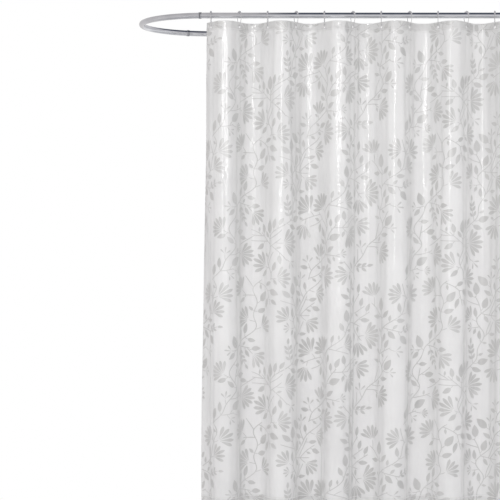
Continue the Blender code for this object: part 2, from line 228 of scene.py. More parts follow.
def film(name, low, high, through, crinkle):
    """Soft plastic film: glossy in front, with light that comes through from behind."""
    m = Nodes(name)
    cloud = m.noise(5.0, 3.0)
    colour = m.ramp(cloud, low, high)
    m.join(colour, m.shader.inputs["Base Color"])
    m.join(m.spread(m.noise(38.0, 4.0), 0.10, 0.20), m.shader.inputs["Roughness"])
    m.set(IOR=FILM_IOR)
    fine = film_relief(m, crinkle)
    m.join(fine, m.shader.inputs["Normal"])
    light = m.add("ShaderNodeBsdfTranslucent")
    m.join(colour, light.inputs["Color"])
    m.join(fine, light.inputs["Normal"])
    mix = m.add("ShaderNodeMixShader")
    mix.inputs["Fac"].default_value = through
    m.join(m.shader.outputs["BSDF"], mix.inputs[1])
    m.join(light.outputs["BSDF"], mix.inputs[2])
    m.join(mix.outputs["Shader"], m.output.inputs["Surface"])
    return m.material


def ink(name, low, high):
    """Silver-grey print with a slight sparkle."""
    m = Nodes(name)
    m.join(m.ramp(m.noise(14.0, 3.0), low, high), m.shader.inputs["Base Color"])
    m.join(m.spread(m.noise(700.0, 2.0), 0.30, 0.46), m.shader.inputs["Roughness"])
    m.set(Metallic=0.10, IOR=FILM_IOR)
    m.join(film_relief(m, PRINT_CRINKLE), m.shader.inputs["Normal"])
    return m.material


def plastic(name, low, high):
    m = Nodes(name)
    m.join(m.ramp(m.noise(60.0), low, high), m.shader.inputs["Base Color"])
    m.join(m.spread(m.noise(240.0), 0.14, 0.26), m.shader.inputs["Roughness"])
    m.join(m.bump(m.noise(700.0), 0.08, 0.0001), m.shader.inputs["Normal"])
    return m.material


CHROME = metal("chrome_tube", (0.66, 0.67, 0.70), (0.74, 0.75, 0.78), 0.035, 0.075, 0.02)
COLLAR = metal("chrome_collar", (0.50, 0.51, 0.54), (0.62, 0.63, 0.66), 0.08, 0.16, 0.04)
# Near-black metal: painted shade for the collar's groove and the screws' cross recesses.
RECESS_SHADE = metal("collar_groove", (0.05, 0.05, 0.06), (0.10, 0.10, 0.11), 0.30, 0.45, 0.04)
STEEL = metal("screw_steel", (0.46, 0.46, 0.47), (0.56, 0.56, 0.57), 0.22, 0.36, 0.10)
WIRE = metal("hook_wire", (0.80, 0.80, 0.80), (0.88, 0.88, 0.88), 0.12, 0.22, 0.04)
BALL = metal("roller_ball", (0.70, 0.70, 0.72), (0.80, 0.80, 0.82), 0.04, 0.09, 0.02)
FILM = film("curtain_film", (0.77, 0.77, 0.765), (0.82, 0.82, 0.815), 0.45, 0.45)
# The header and hem are the same film as the sheet, painted lighter: painted light that hides
# the band of shade of the doubled layer.
HEADER_FILM_PAINTED_LIGHT = film("header_film", (0.91, 0.91, 0.905), (0.95, 0.95, 0.945), 0.56, 0.30)
HEM_FILM_PAINTED_LIGHT = film("hem_film", (0.92, 0.92, 0.915), (0.96, 0.96, 0.955), 0.56, 0.30)
INK = ink("silver_print", (0.60, 0.60, 0.59), (0.66, 0.66, 0.65))
CLEAR = plastic("eyelet_ring", (0.80, 0.80, 0.80), (0.90, 0.90, 0.90))


# -------------------- mesh helpers
def mesh_object(name, verts, faces, mat, smooth=True, sharp=None):
    mesh = bpy.data.meshes.new(name)
    mesh.from_pydata([tuple(v) for v in verts], [], [tuple(f) for f in faces])
    if smooth:
        mesh.shade_smooth()
    if sharp is not None:
        mesh.set_sharp_from_angle(angle=math.radians(sharp))
    mesh.materials.append(mat)
    item = bpy.data.objects.new(name, mesh)
    bpy.context.collection.objects.link(item)
    return item


def ring_at(middle, across, up, radius, sides):
    turns = [2 * math.pi * k / sides for k in range(sides)]
    return [middle + radius * (math.cos(t) * across + math.sin(t) * up) for t in turns]


def skin(rows, closed_rows=False):
    count, size = len(rows), len(rows[0])
    verts = [v for row in rows for v in row]
    faces = []
    for r in range(count if closed_rows else count - 1):
        a, b = r * size, ((r + 1) % count) * size
        for k in range(size):
            m = (k + 1) % size
            faces.append((a + k, a + m, b + m, b + k))
    if not closed_rows:
        faces.append(tuple(reversed(range(size))))
        faces.append(tuple(range((count - 1) * size, count * size)))
    return verts, faces


def turned(profile, axis, across, sides, origin=Vector((0, 0, 0)), closed=False):
    up = axis.cross(across)
    rows = [ring_at(origin + axis * y, across, up, max(r, 1e-5), sides) for r, y in profile]
    return skin(rows, closed)


def face_out(item):
    """Turns every face to look out of its closed shape."""
    work = bmesh.new()
    work.from_mesh(item.data)
    bmesh.ops.recalc_face_normals(work, faces=work.faces[:])
    work.to_mesh(item.data)
    work.free()
    return item


def joined(parts):
    """Several (verts, faces) lists as one."""
    verts, faces = [], []
    for some_verts, some_faces in parts:
        start = len(verts)
        verts += list(some_verts)
        faces += [tuple(k + start for k in f) for f in some_faces]
    return verts, faces


# -------------------- the ring
def ring_point(s):
    s %= TOTAL
    if s <= HALF_STRAIGHT:
        return Vector((s, FRONT_Y, 0)), Vector((1, 0, 0))
    s -= HALF_STRAIGHT
    if s <= ARC:
        t = s / BEND_R
        point = (HALF_STRAIGHT + BEND_R * math.sin(t), MID_Y - BEND_R * math.cos(t), 0)
        return Vector(point), Vector((math.cos(t), math.sin(t), 0))
    s -= ARC
    if s <= 2 * HALF_STRAIGHT:
        return Vector((HALF_STRAIGHT - s, BACK_Y, 0)), Vector((-1, 0, 0))
    s -= 2 * HALF_STRAIGHT
    if s <= ARC:
        t = s / BEND_R
        point = (-HALF_STRAIGHT - BEND_R * math.sin(t), MID_Y + BEND_R * math.cos(t), 0)
        return Vector(point), Vector((-math.cos(t), -math.sin(t), 0))
    s -= ARC
    return Vector((-HALF_STRAIGHT + s, FRONT_Y, 0)), Vector((1, 0, 0))


FRONT_RIGHT = HALF_STRAIGHT + JOINT_PAST_FRONT
BACK_RIGHT = HALF_STRAIGHT + ARC - JOINT_PAST_BACK
BACK_LEFT = 3 * HALF_STRAIGHT + ARC + JOINT_PAST_BACK
FRONT_LEFT = TOTAL - FRONT_RIGHT


def along_ring(marks, sides=40, closed=False):
    """A round body along the ring's centreline, from (distance, radius) marks."""
    rows = []
    for s, radius in marks:
        middle, along = ring_point(s)
        rows.append(ring_at(middle, UP.cross(along), UP, radius, sides))
    return skin(rows, closed)


def tube_marks(start, end, radius, step=0.012):
    count = max(2, int((end - start) / step))
    return [(start + (end - start) * k / count, radius) for k in range(count + 1)]


def make_tube(name, start, end, node):
    half = GAP / 2
    marks = tube_marks(start + half, end - half, TUBE_R)
    item = mesh_object(name, *along_ring(marks), CHROME, sharp=40)
    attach(face_out(item), "ring")
    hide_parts(node)


def make_collar(place, s):
    """A pressed collar with rounded ends and a line of painted shade in the groove round its
    middle.
    """
    bore, out = TUBE_R + GAP, TUBE_R + GAP + COLLAR_WALL
    half = COLLAR_LENGTH / 2
    outline = [(-half, bore), (-half, out - 0.0009), (-half + 0.0004, out - 0.0003),
               (-half + 0.0012, out), (-0.0011, out), (-0.0007, out - 0.0007),
               (0.0007, out - 0.0007), (0.0011, out), (half - 0.0012, out),
               (half - 0.0004, out - 0.0003), (half, out - 0.0009), (half, bore)]
    shape = along_ring([(s + a, r) for a, r in outline], closed=True)
    item = mesh_object("joint_collar_" + place + "_look", *shape, COLLAR, sharp=35)
    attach(face_out(item), "ring")
    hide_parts("joint_collar_" + place)
    # The line of painted shade lies in the groove and ends below the collar's surface.
    line = [(s - 0.0006, out - 0.00068), (s - 0.0006, out - 0.00045),
            (s + 0.0006, out - 0.00045), (s + 0.0006, out - 0.00068)]
    band = mesh_object("joint_line_" + place, *along_ring(line, closed=True), RECESS_SHADE, sharp=35)
    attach(face_out(band), "ring")


def keep_cad_shape(node, mat):
    """Shows a node's own CAD mesh, with a material on it."""
    materials = frame["nodes"][node].data.materials
    materials.clear()
    materials.append(mat)


def make_ring():
    make_tube("front_tube_look", FRONT_LEFT - TOTAL, FRONT_RIGHT, "ring_front_tube")
    make_tube("right_bend_look", FRONT_RIGHT, BACK_RIGHT, "ring_right_bend")
    make_tube("back_tube_look", BACK_RIGHT, BACK_LEFT, "ring_back_tube")
    make_tube("left_bend_look", BACK_LEFT, FRONT_LEFT, "ring_left_bend")
    places = {"front_left": FRONT_LEFT, "front_right": FRONT_RIGHT,
              "back_left": BACK_LEFT, "back_right": BACK_RIGHT}
    for place, s in places.items():
        make_collar(place, s)
        keep_cad_shape("joint_spigot_" + place, STEEL)


# -------------------- the wall brackets
def rounded(radius, low, high, edge):
    """Profile of a plain disc or rod with rounded edges, as (radius, distance)."""
    turns = [math.radians(a) for a in (0, 30, 60, 90)]
    flat = radius - edge
    start = [(flat + edge * math.sin(t), low + edge - edge * math.cos(t)) for t in turns]
    end = [(flat + edge * math.cos(t), high - edge + edge * math.sin(t)) for t in turns]
    return start + end


def make_bracket(side):
    low, high = span(side + "_wall_flange")
    base = Vector(((low.x + high.x) / 2, 0, 0))
    flange_r = (high.x - low.x) / 2
    height = high.y - low.y
    post_low, post_high = span(side + "_wall_post")
    post_r = (post_high.x - post_low.x) / 2
    boss_r = post_r + GAP + BOSS_WALL
    plate, rim = FLANGE_PLATE, FLANGE_PLATE * 0.5
    profile = [(0, 0), (flange_r - 0.0003, 0), (flange_r, 0.0004), (flange_r, rim)]
    for k in range(7):
        t = math.radians(15 * k)
        profile.append((flange_r - rim * (1 - math.cos(t)), rim + rim * math.sin(t)))
    profile += [(boss_r + 0.0030, plate), (boss_r + 0.0010, plate + 0.0006),
                (boss_r, plate + 0.0022), (boss_r, height - 0.0012),
                (boss_r - 0.0004, height - 0.0004), (boss_r - 0.0012, height),
                (post_r + GAP, height), (post_r + GAP, plate / 2), (0, plate / 2)]
    shape = turned(profile, OFF_WALL, ALONG_WALL, 64, base)
    item = mesh_object(side + "_flange_look", *shape, CHROME, sharp=40)
    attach(face_out(item), "ring")
    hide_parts(side + "_wall_flange")

    profile = rounded(post_r, -post_high.y, -post_low.y, 0.0006)
    shape = turned(profile, OFF_WALL, ALONG_WALL, 48, base)
    item = mesh_object(side + "_post_look", *shape, CHROME, sharp=40)
    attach(face_out(item), "ring")
    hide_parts(side + "_wall_post")

    keep_cad_shape(side + "_rod_saddle", CHROME)
    for end in ("top", "bottom"):
        make_screw(side + "_flange_screw_" + end)


SHANK_R = 0.0021
HEAD_HEIGHT = 0.0026
CROSS_LENGTH = 0.0036
CROSS_WIDTH = 0.0009


def make_screw(node):
    """A domed head with a cross recess, shown by two crossed bars of painted shade set into it.
    """
    low, high = span(node)
    place = Vector(((low.x + high.x) / 2, 0, (low.z + high.z) / 2))
    head_r = (high.x - low.x) / 2
    top = high.y - low.y
    under = top - HEAD_HEIGHT
    rim = under + 0.0004
    profile = [(SHANK_R, 0.0), (SHANK_R, under), (head_r - 0.0002, under), (head_r, rim)]
    for k in range(1, 6):
        t = math.radians(15 * k)
        profile.append((head_r * math.cos(t) ** 0.6, rim + (top - rim) * math.sin(t)))
    profile.append((0.0, top))
    shape = turned(profile, OFF_WALL, ALONG_WALL, 32, place)
    item = mesh_object(node + "_look", *shape, STEEL, sharp=40)
    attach(face_out(item), "ring")
    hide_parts(node)
    bars = []
    low_y, high_y = -(top + 0.00006), -(top - 0.0006)
    faces = [(0, 1, 2, 3), (7, 6, 5, 4)] + [(k, k + 4, (k + 1) % 4 + 4, (k + 1) % 4)
                                            for k in range(4)]
    for wide, tall in ((CROSS_LENGTH, CROSS_WIDTH), (CROSS_WIDTH, CROSS_LENGTH)):
        corners = [(-wide / 2, -tall / 2), (wide / 2, -tall / 2),
                   (wide / 2, tall / 2), (-wide / 2, tall / 2)]
        verts = [place + Vector((x, y, z)) for y in (low_y, high_y) for x, z in corners]
        bars.append((verts, faces))
    cross = mesh_object(node + "_cross", *joined(bars), RECESS_SHADE, smooth=False)
    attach(face_out(cross), "ring")


# -------------------- the hooks
def smooth_path(points, steps):
    """A Catmull-Rom curve through points."""
    ends = [points[0] * 2 - points[1]] + points + [points[-1] * 2 - points[-2]]
    out = []
    for k in range(1, len(ends) - 2):
        a, b, c, d = ends[k - 1:k + 3]
        for j in range(steps):
            t = j / steps
            out.append(0.5 * ((2 * b) + (c - a) * t + (2 * a - 5 * b + 4 * c - d) * t * t
                              + (3 * b - a - 3 * c + d) * t ** 3))
    out.append(points[-1])
    return out


def hook_shapes(low):
    """The wire's centreline and the balls' centres, in the hook's own plane."""
    rest = TUBE_R + GAP + HOOK_BALL / 2
    arc_r = rest / math.cos(math.radians(max(HOOK_TURNS))) + 0.0007
    drop = arc_r - rest

    def over_rod(degrees):
        t = math.radians(degrees)
        return Vector((0, arc_r * math.sin(t), arc_r * math.cos(t) - drop))

    points = []
    for degrees in (62, 40, 20, 0, -20, -40, -58):
        t = math.radians(degrees)
        depth, height = HOOK_CROOK * math.sin(t), HOOK_CROOK * (1 - math.cos(t))
        points.append(Vector((0, depth, low + height)))
    points.append(Vector((0, -arc_r + 0.0015, -HOOK_SHOULDER)))
    points.append(Vector((0, -arc_r, -drop - 0.005)))
    points += [over_rod(degrees) for degrees in range(-90, 91, 15)]
    last = Vector((0, arc_r - 0.002, -HOOK_SHOULDER))
    points += [Vector((0, arc_r, -drop - 0.005)), last]
    # The back leg stops short of the crook's open end.
    way = points[0] - last
    points.append(last + way * (1 - 0.009 / way.length))
    return smooth_path(points, 5), [over_rod(degrees) for degrees in HOOK_BALL_ANGLES]


def sphere(middle, radius, sides=20, rows=12):
    profile = []
    for k in range(rows + 1):
        t = math.pi * k / rows
        profile.append((radius * math.sin(t), -radius * math.cos(t)))
    return turned(profile, ALONG_WALL, -OFF_WALL, sides, middle)


def hook_names(i):
    """A hook's number as its names give it, and the body that carries it."""
    number = "%02d" % (i + 1)
    return number, "carrier_" + number if i < HOOKS - 1 else "curtain"


def make_hook(i):
    number, body = hook_names(i)
    low = span("hook_" + number)[0].z + HOOK_WIRE / 2
    path, balls = hook_shapes(low)
    rows = []
    for k, here in enumerate(path):
        along = (path[min(k + 1, len(path) - 1)] - path[max(k - 1, 0)]).normalized()
        # The ends of the wire are rounded off.
        edge = min(k, len(path) - 1 - k)
        radius = HOOK_WIRE / 2 * (0.55 if edge == 0 else 0.9 if edge == 1 else 1.0)
        rows.append(ring_at(here, ALONG_WALL, along.cross(ALONG_WALL), radius, 14))
    turn = Matrix.Rotation(math.radians(HOOK_TURNS[i % 2]), 4, "Z")
    place = Matrix.Translation((HOOK_X[i], FRONT_Y, 0)) @ turn
    wire = mesh_object("hook_wire_" + number, *skin(rows), WIRE, sharp=50)
    wire.data.transform(place)
    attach(face_out(wire), body)
    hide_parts("hook_" + number)
    shape = joined([sphere(ball, HOOK_BALL / 2) for ball in balls])
    beads = mesh_object("hook_balls_" + number, *shape, BALL)
    beads.data.transform(place)
    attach(face_out(beads), body)


def make_eyelet(i):
    """A moulded clear ring that grips the doubled film."""
    number, body = hook_names(i)
    middle = centre("eyelet_" + number)
    slope = slope_for(PITCH / FLAT_PITCH, *fold_form(0))
    heading = -slope if i % 2 == 0 else slope
    bore, flange, lip, grip = EYELET_BORE / 2, EYELET_FLANGE / 2, 0.00135, 0.00085
    profile = [(bore + 0.0003, -lip), (flange - 0.0006, -lip), (flange - 0.0001, -lip + 0.0003),
               (flange, -grip), (bore + 0.0020, -grip), (bore + 0.0020, grip), (flange, grip),
               (flange - 0.0001, lip - 0.0003), (flange - 0.0006, lip), (bore + 0.0003, lip),
               (bore, lip - 0.0004), (bore, -lip + 0.0004)]
    shape = turned(profile, -OFF_WALL, ALONG_WALL, 40, closed=True)
    item = mesh_object("eyelet_ring_" + number, *shape, CLEAR, sharp=40)
    item.data.transform(Matrix.Translation(middle) @ Matrix.Rotation(heading, 4, "Z"))
    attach(face_out(item), body)
    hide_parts("eyelet_" + number)


# -------------------- the curtain's hung shape
RAMP_SHARE_TOP = 0.29        # straight half flank of a fold, as a share of its flat width
RAMP_SHARE_LOW = 0.13        # the same near the bottom, where the folds are rounder
CREST_FLAT_TOP = 0.70        # 0 is an even bend, 1 a crest with a flat middle
CREST_FLAT_LOW = 0.15
FLAP_STRAIGHT = 0.014        # flat part of each end flap, past its hook
FLAP_RADIUS = 0.050          # how tightly an end flap curls at the top
FLAP_TURN = 1.45             # how far that curl turns the other way on the way down
FINE_STEPS = 3600            # steps across the flat sheet when its line is summed
WAVE_COUNT = 7
CRINKLES_PER_FOLD = 7
PUCKER = 0.0009              # height of the film's pucker round an eyelet
HOLE_R = 0.0060              # film left out round each eyelet's middle


def ease(t):
    t = np.clip(t, 0.0, 1.0)
    return t * t * (3 - 2 * t)


def bend_share(t, share, flatness, shift=0.0):
    """How far the heading has turned from one flank (0) to the next (1) at t of a fold.

    The film turns least at the middle of a crest, and shift moves that place sideways.
    """
    r = np.clip((t - share) / (1 - 2 * share), 0, 1)
    r = r + shift * r * (1 - r)
    return r + flatness * np.sin(2 * math.pi * r) / (2 * math.pi)


def chord(slope, share, flatness):
    """Hung width of one fold, as a share of its flat width."""
    t = (np.arange(400) + 0.5) / 400
    return float(np.mean(np.cos(slope * (2 * bend_share(t, share, flatness) - 1))))


def slope_for(width, share, flatness):
    """The flank's slope that gives a fold its hung width."""
    low, high = 0.05, 1.5
    for _ in range(40):
        mid = (low + high) / 2
        low, high = (mid, high) if chord(mid, share, flatness) > width else (low, mid)
    return low


def fold_form(down):
    """Straight share and crest flatness at a depth, from 0 at the top to 1 at the hem."""
    sag = ease(down * 1.4)
    share = RAMP_SHARE_TOP + (RAMP_SHARE_LOW - RAMP_SHARE_TOP) * sag
    flatness = CREST_FLAT_TOP + (CREST_FLAT_LOW - CREST_FLAT_TOP) * sag
    return round(float(share), 3), round(float(flatness), 3)


def u_stations():
    """Distances across the flat sheet, closer together round each eyelet."""
    out = []
    for i in range(HOOKS):
        hook = FLAT_PITCH * (i + 0.5)
        out += list(np.linspace(hook - FLAT_PITCH / 2, hook - 0.012, 16)[:-1])
        out += list(np.linspace(hook - 0.012, hook + 0.012, 13)[:-1])
        out += list(np.linspace(hook + 0.012, hook + FLAT_PITCH / 2, 16)[:-1])
    return np.array(out + [CURTAIN_WIDTH])


def v_stations():
    """Distances down the sheet, closer together in the header and at the hem."""
    return np.concatenate([np.linspace(0, 0.040, 21)[:-1],
                           np.linspace(0.040, CURTAIN_DROP - HEM_HEIGHT, 205)[:-1],
                           np.linspace(CURTAIN_DROP - HEM_HEIGHT, CURTAIN_DROP, 6)])


def hang(us, vs):
    """The sheet's centre surface: positions and front-facing normals on the u, v grid."""
    fold_change = rng.uniform(-0.085, 0.085, HOOKS - 1)
    fold_change -= fold_change.mean()
    phase = rng.uniform(0, 2 * math.pi, 6)
    crest_shift = rng.uniform(-0.40, 0.40, HOOKS - 1)
    places = np.zeros((len(vs), len(us), 3))
    normals = np.zeros_like(places)
    step = CURTAIN_WIDTH / FINE_STEPS
    fine = np.arange(FINE_STEPS + 1) * step
    for row, v in enumerate(vs):
        down = v / CURTAIN_DROP
        loose = ease(down * 1.05) * 0.9 + 0.1 * down
        form = fold_form(down)
        widths = PITCH / FLAT_PITCH * (1 + fold_change * loose)
        slopes = [slope_at(w, form) for w in widths]
        between = [(a + b) / 2 for a, b in zip(slopes, slopes[1:])]
        at_hook = [slopes[0]] + between + [slopes[-1]]
        heading = np.zeros_like(fine)
        for i in range(HOOKS - 1):
            start = FLAT_PITCH * (i + 0.5)
            inside = (fine >= start) & (fine < start + FLAT_PITCH)
            shift = crest_shift[i] * (0.25 * ease(down * 40) + 0.75 * ease(down * 3))
            turned_share = bend_share((fine[inside] - start) / FLAT_PITCH, *form, shift)
            sign = -1 if i % 2 == 0 else 1
            heading[inside] = sign * (at_hook[i] - (at_hook[i] + at_hook[i + 1]) * turned_share)
        opening = 1 - FLAP_TURN * math.sin(math.pi / 2 * min(1.0, down)) ** 1.2
        first, last = FLAT_PITCH / 2, CURTAIN_WIDTH - FLAT_PITCH / 2
        left = fine < first
        curl = np.maximum(0, first - fine[left] - FLAP_STRAIGHT) / FLAP_RADIUS
        heading[left] = -at_hook[0] - curl * opening
        right = fine >= last
        curl = np.maximum(0, fine[right] - last - FLAP_STRAIGHT) / FLAP_RADIUS
        heading[right] = at_hook[-1] + curl * opening
        # Slow sway of each fold's line on the way down.
        heading += loose * 0.035 * np.sin(2 * math.pi * (fine / 0.61 + 0.4 * down) + phase[0])
        heading += loose * 0.030 * np.sin(2 * math.pi * (fine / 0.37 - 0.7 * down) + phase[1])
        x = np.concatenate([[0], np.cumsum(np.cos((heading[1:] + heading[:-1]) / 2))]) * step
        y = np.concatenate([[0], np.cumsum(np.sin((heading[1:] + heading[:-1]) / 2))]) * step
        hooks = np.interp(FLAT_PITCH * (np.arange(HOOKS) + 0.5), fine, x)
        hooks_y = np.interp(FLAT_PITCH * (np.arange(HOOKS) + 0.5), fine, y)
        lean, level = np.polyfit(hooks, hooks_y, 1)
        y = y - (lean * x + level)
        x = x - (hooks[0] + hooks[-1]) / 2
        y = y + loose * 0.006 * np.sin(2 * math.pi * x / 1.3 + phase[2])
        places[row, :, 0] = np.interp(us, fine, x)
        places[row, :, 1] = np.interp(us, fine, y) + FRONT_Y
        places[row, :, 2] = TOP_Z - v
        h = np.interp(us, fine, heading)
        normals[row, :, 0] = np.sin(h)
        normals[row, :, 1] = -np.cos(h)
    return places, normals


SLOPES = {}


def slope_at(width, form):
    """slope_for, read from a table built as it is needed."""
    if form not in SLOPES:
        widths = np.linspace(0.60, 0.82, 12)
        SLOPES[form] = (widths, np.array([slope_for(w, *form) for w in widths]))
    return float(np.interp(width, *SLOPES[form]))


def ripples(us, vs):
    """Small relief of the film, in metres along its normal."""
    u, v = np.meshgrid(us, vs)
    relief = np.zeros_like(u)
    hem = ease(v / 0.10)
    for _ in range(WAVE_COUNT):
        length, sway = rng.uniform(0.028, 0.075), rng.uniform(0.5, 1.6)
        a, b = rng.uniform(0, 2 * math.pi, 2)
        size = rng.uniform(0.00030, 0.00080)
        wave = np.sin(2 * math.pi * u / length + 0.8 * np.sin(2 * math.pi * v / sway + b) + a)
        relief += size * hem * wave * (0.6 + 0.4 * np.sin(2 * math.pi * v / 0.9 + b))
    # Crinkles run across the fold lines in short patches.
    for fold in range(HOOKS + 1):
        for _ in range(CRINKLES_PER_FOLD):
            cu = FLAT_PITCH * fold + rng.normal(0, 0.008)
            cv = rng.uniform(0.03, CURTAIN_DROP * 0.98)
            wide, tall = rng.uniform(0.008, 0.020), rng.uniform(0.035, 0.120)
            length = rng.uniform(0.013, 0.026)
            tilt = rng.uniform(-0.5, 0.5)
            size = rng.uniform(0.00030, 0.00085)
            patch = np.exp(-((u - cu) / wide) ** 2 - ((v - cv) / tall) ** 2)
            relief += size * patch * np.sin(2 * math.pi * (v + tilt * (u - cu)) / length)
    # The film puckers away from each eyelet.
    for i in range(HOOKS):
        du, dv = u - FLAT_PITCH * (i + 0.5), v - (TOP_Z - EYELET_Z)
        r = np.hypot(du, dv)
        angle = np.arctan2(du, dv)
        rays = np.sin(7 * angle + rng.uniform(0, 6.28)) + 0.6 * np.sin(4 * angle)
        relief += PUCKER * rays * np.exp(-r / 0.045) * ease((r - 0.010) / 0.020)
        relief *= 1 - 0.97 * np.exp(-(r / 0.0125) ** 4)
    return relief


class Cloth:
    """The hung sheet as a surface that anything flat can be laid on."""

    def __init__(self):
        self.us, self.vs = u_stations(), v_stations()
        places, normals = hang(self.us, self.vs)
        places += normals * ripples(self.us, self.vs)[:, :, None]
        self.places = places
        du = np.gradient(places, axis=1)
        dv = np.gradient(places, axis=0)
        n = np.cross(du, dv)
        n /= np.linalg.norm(n, axis=2)[:, :, None]
        n *= np.sign((n * normals).sum(2))[:, :, None]
        self.normals = n

    def at(self, u, v, lift=0.0):
        """Points and normals of flat coordinates, lifted off the sheet's front."""
        u = np.clip(u, 0, CURTAIN_WIDTH - 1e-6)
        v = np.clip(v, 0, CURTAIN_DROP - 1e-6)
        i = np.clip(np.searchsorted(self.us, u, "right") - 1, 0, len(self.us) - 2)
        j = np.clip(np.searchsorted(self.vs, v, "right") - 1, 0, len(self.vs) - 2)
        a = ((u - self.us[i]) / (self.us[i + 1] - self.us[i]))[:, None]
        b = ((v - self.vs[j]) / (self.vs[j + 1] - self.vs[j]))[:, None]

        def blend(field):
            top = field[j, i] * (1 - a) + field[j, i + 1] * a
            low = field[j + 1, i] * (1 - a) + field[j + 1, i + 1] * a
            return top * (1 - b) + low * b

        n = blend(self.normals)
        n /= np.linalg.norm(n, axis=1)[:, None]
        return blend(self.places) + n * lift, n

    def strip(self, name, mat, v_low, v_high, lift, holes=True):
        """Part of the sheet between two depths as one single-layer mesh."""
        rows = [k for k, v in enumerate(self.vs) if v_low - 1e-6 <= v <= v_high + 1e-6]
        places = self.places[rows] + self.normals[rows] * lift
        count = len(self.us)
        verts = places.reshape(-1, 3)
        flat_u, flat_v = np.meshgrid(self.us, self.vs[rows])
        faces = []
        gone = self.hole_cells(flat_u, flat_v) if holes else set()
        for r in range(len(rows) - 1):
            for k in range(count - 1):
                if (r, k) in gone:
                    continue
                a = r * count + k
                faces.append((a, a + count, a + count + 1, a + 1))
        used = np.unique(np.array(faces))
        index = -np.ones(len(verts), int)
        index[used] = np.arange(len(used))
        return mesh_object(name, verts[used], index[np.array(faces)], mat)

    def hole_cells(self, flat_u, flat_v):
        """Cells that reach into an eyelet's bore; the eyelet's flange covers their edge."""
        gone = set()
        middle_v = TOP_Z - EYELET_Z
        for i in range(HOOKS):
            middle_u = FLAT_PITCH * (i + 0.5)
            r = np.hypot(flat_u - middle_u, flat_v - middle_v)
            for row, k in zip(*np.where(r < HOLE_R)):
                for a in (row - 1, row):
                    for b in (k - 1, k):
                        gone.add((a, b))
        return gone


# -------------------- the print
TILE_WIDTH = CURTAIN_WIDTH * 5 / 9
TILE_HEIGHT = 0.545
CELL = 0.0025                # side of one square of the map of printed places
CLEARANCE = 0.0050           # bare film left round each motif
ROOT_REACH = 0.0085          # where a motif may cover the one it grows from
STEM_LIFT = 0.00022          # heights above the sheet's middle
LEAF_LIFT = 0.00028
PETAL_LIFT = 0.00034
WELD_LIFT = 0.00040
MAIN_STEMS = 4
TILE_START = (-0.02, -0.11)  # where the first repeat starts, across and down
PRINT_MARGIN = 0.001         # bare edge of the sheet
EYELET_CLEAR = 0.0095        # bare film round each eyelet's middle


class Print:
    """Flat motifs, each a small grid of quads in sheet coordinates."""

    def __init__(self):
        self.u, self.v, self.lift, self.faces = [], [], [], []
        self.size = 0

    def patch(self, u, v, lift):
        """u and v are equal grids; every cell becomes one quad."""
        rows, cols = u.shape
        self.u.append(u.ravel())
        self.v.append(v.ravel())
        self.lift.append(np.full(u.size, lift))
        k = np.arange(rows * cols).reshape(rows, cols) + self.size
        quads = np.stack([k[:-1, :-1], k[1:, :-1], k[1:, 1:], k[:-1, 1:]], axis=-1)
        self.faces.append(quads.reshape(-1, 4))
        self.size += u.size

    def along(self, spine_u, spine_v, half, lift, across=2):
        """A shape of the given half widths along a spine."""
        du, dv = np.gradient(spine_u), np.gradient(spine_v)
        length = np.hypot(du, dv) + 1e-9
        nu, nv = -dv / length, du / length
        s = np.linspace(1, -1, across + 1)[None, :]
        self.patch(spine_u[:, None] + nu[:, None] * half[:, None] * s,
                   spine_v[:, None] + nv[:, None] * half[:, None] * s, lift)

    def take(self, other):
        """Adds another print's motifs."""
        self.u += other.u
        self.v += other.v
        self.lift += other.lift
        self.faces += [faces + self.size for faces in other.faces]
        self.size += other.size


class Field:
    """Which parts of one repeat are printed already; its sides join up."""

    def __init__(self):
        self.cols, self.rows = round(TILE_WIDTH / CELL), round(TILE_HEIGHT / CELL)
        self.used = np.zeros((self.rows, self.cols), bool)
        reach = int(CLEARANCE / CELL) + 1
        grid = np.mgrid[-reach:reach + 1, -reach:reach + 1].reshape(2, -1)
        self.disc = grid[:, np.hypot(*grid) * CELL <= CLEARANCE]

    def cells(self, shape):
        u, v = np.concatenate(shape.u), np.concatenate(shape.v)
        return (np.floor(v / CELL).astype(int) % self.rows,
                np.floor(u / CELL).astype(int) % self.cols)

    def free(self, shape, root):
        """True where a motif covers nothing, apart from the place where it grows from."""
        u, v = np.concatenate(shape.u), np.concatenate(shape.v)
        row, col = self.cells(shape)
        near = np.hypot(u - root[0], v - root[1]) < ROOT_REACH
        return not (self.used[row, col] & ~near).any()

    def mark(self, shape):
        row, col = self.cells(shape)
        rows = (row[:, None] + self.disc[0]) % self.rows
        cols = (col[:, None] + self.disc[1]) % self.cols
        self.used[rows, cols] = True


def curved_spine(u, v, angle, length, bend, count):
    """Points from (u, v) that start at an angle from straight up and turn by bend."""
    t = np.linspace(0, 1, count)
    turn = angle + bend * t
    step = length / (count - 1)
    us = u + np.concatenate([[0], np.cumsum(np.sin((turn[1:] + turn[:-1]) / 2))]) * step
    vs = v - np.concatenate([[0], np.cumsum(np.cos((turn[1:] + turn[:-1]) / 2))]) * step
    return us, vs, turn


def leaf(sheet, u, v, angle, length, width, bend=0.25):
    """An oval leaf with a pointed tip."""
    us, vs, _ = curved_spine(u, v, angle, length, bend, 9)
    t = np.linspace(0, 1, 9)
    half = width / 2 * np.sin(math.pi * t ** 0.80) ** 0.85
    half[0], half[-1] = 0.0004, 0.00015
    sheet.along(us, vs, half, LEAF_LIFT, 4)


def petal(sheet, u, v, angle, length, width, bend):
    """Narrow where it starts, widest near its rounded end."""
    us, vs, _ = curved_spine(u, v, angle, length, bend, 9)
    t = np.linspace(0, 1, 9)
    half = width / 2 * np.sin(math.pi * t ** 2.1) ** 0.55
    half[0], half[-1] = 0.0005, width * 0.14
    sheet.along(us, vs, half, PETAL_LIFT, 4)


def stem(sheet, us, vs, width):
    half = np.full(len(us), width / 2)
    half[-1] *= 0.6
    sheet.along(us, vs, half, STEM_LIFT, 1)


